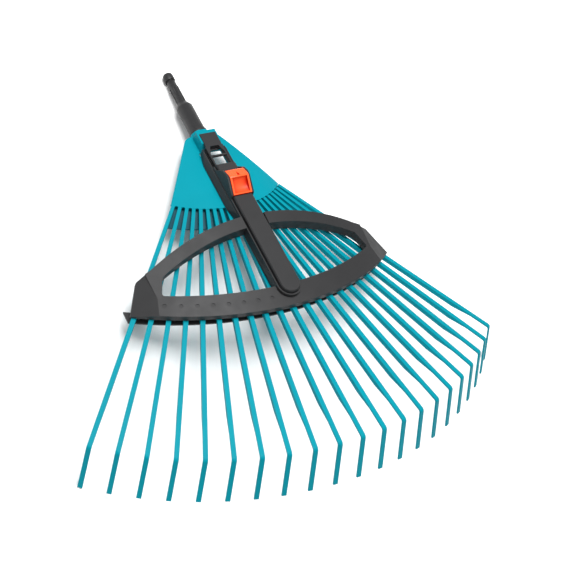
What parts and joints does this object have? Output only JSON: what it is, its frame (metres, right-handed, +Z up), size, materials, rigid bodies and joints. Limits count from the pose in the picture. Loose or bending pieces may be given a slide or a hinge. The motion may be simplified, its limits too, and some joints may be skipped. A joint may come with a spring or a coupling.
{
  "type": "adjustable leaf rake head",
  "caption": "Fan rake head with hinged flat tines, a sliding spreader that narrows the fan, a sprung latch lever and a plug-in stem for a long handle.",
  "frame": {"origin": "on the floor, below the middle of the bounding box, with the head lying on its two outer tips and the end of its stem", "axes": "+Z up from the floor, +Y towards the handle, +X to the right as seen from above with the handle away from the viewer"},
  "size_m": [0.5096, 0.5016, 0.1016],
  "materials": {
    "teal_plastic": "satin moulded plastic",
    "dark_plastic": "fine-grained moulded plastic",
    "orange_plastic": "satin moulded plastic",
    "steel": "plain"
  },
  "bodies": {
    "head": {"head_plate": "teal_plastic", "head_base": "teal_plastic", "head_screws": "steel", "tine_pins": "steel", "guide_rail": "dark_plastic", "rail_screws": "steel", "rail_stop": "dark_plastic", "stem": "dark_plastic", "stem_pin": "steel", "tine_11": "teal_plastic"},
    "spreader": {"spreader_frame": "dark_plastic", "spreader_keeper": "dark_plastic", "keeper_screws": "steel", "slider_arm": "dark_plastic", "arm_screws": "steel", "latch_pin": "steel", "latch_spring": "steel"},
    "latch": {"latch_lever": "orange_plastic"},
    "tine_01": {"tine_01": "teal_plastic"},
    "tine_02": {"tine_02": "teal_plastic"},
    "tine_03": {"tine_03": "teal_plastic"},
    "tine_04": {"tine_04": "teal_plastic"},
    "tine_05": {"tine_05": "teal_plastic"},
    "tine_06": {"tine_06": "teal_plastic"},
    "tine_07": {"tine_07": "teal_plastic"},
    "tine_08": {"tine_08": "teal_plastic"},
    "tine_09": {"tine_09": "teal_plastic"},
    "tine_10": {"tine_10": "teal_plastic"},
    "tine_12": {"tine_12": "teal_plastic"},
    "tine_13": {"tine_13": "teal_plastic"},
    "tine_14": {"tine_14": "teal_plastic"},
    "tine_15": {"tine_15": "teal_plastic"},
    "tine_16": {"tine_16": "teal_plastic"},
    "tine_17": {"tine_17": "teal_plastic"},
    "tine_18": {"tine_18": "teal_plastic"},
    "tine_19": {"tine_19": "teal_plastic"},
    "tine_20": {"tine_20": "teal_plastic"},
    "tine_21": {"tine_21": "teal_plastic"}
  },
  "joints": [
    {"name": "spreader_slide", "type": "slide", "parent": "head", "child": "spreader", "axis": [0, -0.9811, 0.1936], "range_m": [0, 0.098]},
    {"name": "latch_press", "type": "hinge", "parent": "spreader", "child": "latch", "pos_m": [0, 0.08444, 0.06112], "axis": [1, 0, 0], "range_deg": [0, 8], "stiffness_Nm_per_rad": 0.06, "springref_deg": -11.46, "deforming": ["latch_spring"]},
    {"name": "tine_swing_01", "type": "hinge", "parent": "head", "child": "tine_01", "pos_m": [-0.06081, 0.08975, 0.03032], "axis": [-0.1715, 0.1908, 0.9665], "range_deg": [0, 15.85]},
    {"name": "tine_swing_02", "type": "hinge", "parent": "head", "child": "tine_02", "pos_m": [-0.05567, 0.08606, 0.03286], "axis": [-0.1563, 0.1912, 0.969], "range_deg": [0, 14.41]},
    {"name": "tine_swing_03", "type": "hinge", "parent": "head", "child": "tine_03", "pos_m": [-0.05023, 0.08272, 0.03524], "axis": [-0.1405, 0.1917, 0.9713], "range_deg": [0, 12.92]},
    {"name": "tine_swing_04", "type": "hinge", "parent": "head", "child": "tine_04", "pos_m": [-0.04452, 0.07976, 0.03741], "axis": [-0.1241, 0.1921, 0.9735], "range_deg": [0, 11.38]},
    {"name": "tine_swing_05", "type": "hinge", "parent": "head", "child": "tine_05", "pos_m": [-0.03858, 0.07719, 0.03935], "axis": [-0.1073, 0.1925, 0.9754], "range_deg": [0, 9.81]},
    {"name": "tine_swing_06", "type": "hinge", "parent": "head", "child": "tine_06", "pos_m": [-0.03244, 0.07501, 0.04103], "axis": [-0.09, 0.1928, 0.9771], "range_deg": [0, 8.22]},
    {"name": "tine_swing_07", "type": "hinge", "parent": "head", "child": "tine_07", "pos_m": [-0.02615, 0.07322, 0.04244], "axis": [-0.0724, 0.1931, 0.9785], "range_deg": [0, 6.6]},
    {"name": "tine_swing_08", "type": "hinge", "parent": "head", "child": "tine_08", "pos_m": [-0.01972, 0.07183, 0.04355], "axis": [-0.0546, 0.1933, 0.9796], "range_deg": [0, 4.96]},
    {"name": "tine_swing_09", "type": "hinge", "parent": "head", "child": "tine_09", "pos_m": [-0.0132, 0.07084, 0.04436], "axis": [-0.0365, 0.1935, 0.9804], "range_deg": [0, 3.31]},
    {"name": "tine_swing_10", "type": "hinge", "parent": "head", "child": "tine_10", "pos_m": [-0.00661, 0.07025, 0.04484], "axis": [-0.0183, 0.1936, 0.9809], "range_deg": [0, 1.66]},
    {"name": "tine_swing_12", "type": "hinge", "parent": "head", "child": "tine_12", "pos_m": [0.00661, 0.07025, 0.04484], "axis": [0.0183, 0.1936, 0.9809], "range_deg": [-1.66, 0]},
    {"name": "tine_swing_13", "type": "hinge", "parent": "head", "child": "tine_13", "pos_m": [0.0132, 0.07084, 0.04436], "axis": [0.0365, 0.1935, 0.9804], "range_deg": [-3.31, 0]},
    {"name": "tine_swing_14", "type": "hinge", "parent": "head", "child": "tine_14", "pos_m": [0.01972, 0.07183, 0.04355], "axis": [0.0546, 0.1933, 0.9796], "range_deg": [-4.96, 0]},
    {"name": "tine_swing_15", "type": "hinge", "parent": "head", "child": "tine_15", "pos_m": [0.02615, 0.07322, 0.04244], "axis": [0.0724, 0.1931, 0.9785], "range_deg": [-6.6, 0]},
    {"name": "tine_swing_16", "type": "hinge", "parent": "head", "child": "tine_16", "pos_m": [0.03244, 0.07501, 0.04103], "axis": [0.09, 0.1928, 0.9771], "range_deg": [-8.22, 0]},
    {"name": "tine_swing_17", "type": "hinge", "parent": "head", "child": "tine_17", "pos_m": [0.03858, 0.07719, 0.03935], "axis": [0.1073, 0.1925, 0.9754], "range_deg": [-9.81, 0]},
    {"name": "tine_swing_18", "type": "hinge", "parent": "head", "child": "tine_18", "pos_m": [0.04452, 0.07976, 0.03741], "axis": [0.1241, 0.1921, 0.9735], "range_deg": [-11.38, 0]},
    {"name": "tine_swing_19", "type": "hinge", "parent": "head", "child": "tine_19", "pos_m": [0.05023, 0.08272, 0.03524], "axis": [0.1405, 0.1917, 0.9713], "range_deg": [-12.92, 0]},
    {"name": "tine_swing_20", "type": "hinge", "parent": "head", "child": "tine_20", "pos_m": [0.05567, 0.08606, 0.03286], "axis": [0.1563, 0.1912, 0.969], "range_deg": [-14.41, 0]},
    {"name": "tine_swing_21", "type": "hinge", "parent": "head", "child": "tine_21", "pos_m": [0.06081, 0.08975, 0.03032], "axis": [0.1715, 0.1908, 0.9665], "range_deg": [-15.85, 0]}
  ],
  "couplings": [
    {"joint": "tine_swing_01", "follows": "spreader_slide", "rad_per_m": 2.8227},
    {"joint": "tine_swing_02", "follows": "spreader_slide", "rad_per_m": 2.5662},
    {"joint": "tine_swing_03", "follows": "spreader_slide", "rad_per_m": 2.3006},
    {"joint": "tine_swing_04", "follows": "spreader_slide", "rad_per_m": 2.0274},
    {"joint": "tine_swing_05", "follows": "spreader_slide", "rad_per_m": 1.7478},
    {"joint": "tine_swing_06", "follows": "spreader_slide", "rad_per_m": 1.4632},
    {"joint": "tine_swing_07", "follows": "spreader_slide", "rad_per_m": 1.1748},
    {"joint": "tine_swing_08", "follows": "spreader_slide", "rad_per_m": 0.88341},
    {"joint": "tine_swing_09", "follows": "spreader_slide", "rad_per_m": 0.59001},
    {"joint": "tine_swing_10", "follows": "spreader_slide", "rad_per_m": 0.29532},
    {"joint": "tine_swing_12", "follows": "spreader_slide", "rad_per_m": -0.29532},
    {"joint": "tine_swing_13", "follows": "spreader_slide", "rad_per_m": -0.59001},
    {"joint": "tine_swing_14", "follows": "spreader_slide", "rad_per_m": -0.88341},
    {"joint": "tine_swing_15", "follows": "spreader_slide", "rad_per_m": -1.1748},
    {"joint": "tine_swing_16", "follows": "spreader_slide", "rad_per_m": -1.4632},
    {"joint": "tine_swing_17", "follows": "spreader_slide", "rad_per_m": -1.7478},
    {"joint": "tine_swing_18", "follows": "spreader_slide", "rad_per_m": -2.0274},
    {"joint": "tine_swing_19", "follows": "spreader_slide", "rad_per_m": -2.3006},
    {"joint": "tine_swing_20", "follows": "spreader_slide", "rad_per_m": -2.5662},
    {"joint": "tine_swing_21", "follows": "spreader_slide", "rad_per_m": -2.8227}
  ]
}
